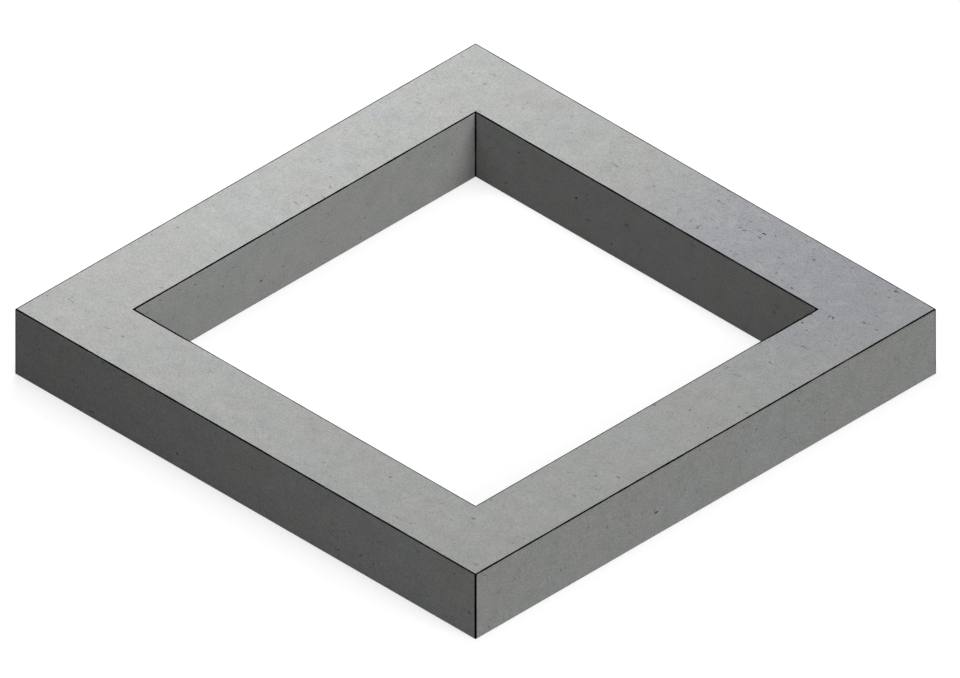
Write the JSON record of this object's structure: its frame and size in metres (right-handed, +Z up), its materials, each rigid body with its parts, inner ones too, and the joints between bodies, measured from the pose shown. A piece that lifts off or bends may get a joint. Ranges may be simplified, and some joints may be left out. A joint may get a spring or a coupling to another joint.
{
  "type": "concrete manhole adjusting frame",
  "caption": "Square precast concrete ring with a square opening, bedded under a manhole's iron frame to raise the cover.",
  "frame": {"origin": "centre of the underside, in the middle of the opening", "axes": "+Z up, through the opening from the underside to the top bearing face; X and Y run along the walls, and the ring is the same turned by a quarter"},
  "size_m": [1.15, 1.15, 0.14],
  "materials": {
    "concrete": "grey precast concrete, smooth from the mould, matt, with small air pits and a dark line at each arris"
  },
  "bodies": {
    "root": {"adjusting_frame": "concrete"}
  },
  "joints": []
}
